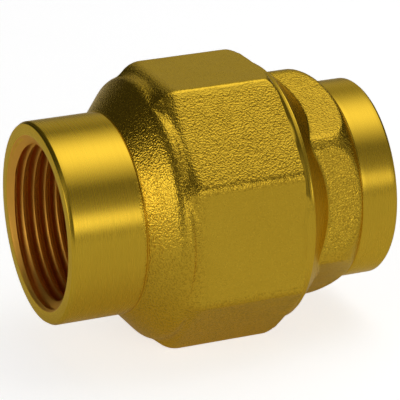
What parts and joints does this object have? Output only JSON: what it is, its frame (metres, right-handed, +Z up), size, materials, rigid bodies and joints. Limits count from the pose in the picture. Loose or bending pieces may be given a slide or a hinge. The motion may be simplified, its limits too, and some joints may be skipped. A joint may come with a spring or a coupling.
{
  "type": "check valve",
  "caption": "Brass check valve with an octagonal body, a hexagonal end connector, a pipe thread in each end and a spring-loaded poppet inside.",
  "frame": {"origin": "on the flow axis, half way between the two end faces", "axes": "+X along the flow, from the inlet collar to the outlet collar; +Z up, square to the top flat of the body"},
  "size_m": [0.067, 0.0514, 0.053],
  "materials": {
    "forged_brass": "forged and blasted, with turned ends",
    "connector_brass": "forged and blasted hexagon, turned collar and shoulder",
    "turned_brass": "turned",
    "nut_brass": "turned",
    "guide_brass": "forged",
    "washer_steel": "satin",
    "spring_steel": "drawn wire",
    "seal_rubber": "matt",
    "ring_rubber": "matt"
  },
  "bodies": {
    "housing": {"body": "forged_brass", "end_connector": "connector_brass", "seal_ring": "ring_rubber", "guide": "guide_brass", "spring": "spring_steel"},
    "poppet": {"poppet": "turned_brass", "seat_seal": "seal_rubber", "seal_washer": "washer_steel", "seal_nut": "nut_brass"}
  },
  "joints": [
    {"name": "poppet_slide", "type": "slide", "parent": "housing", "child": "poppet", "axis": [1, 0, 0], "range_m": [0, 0.007], "stiffness_N_per_m": 300, "springref_m": -0.0065, "deforming": ["spring"]}
  ]
}
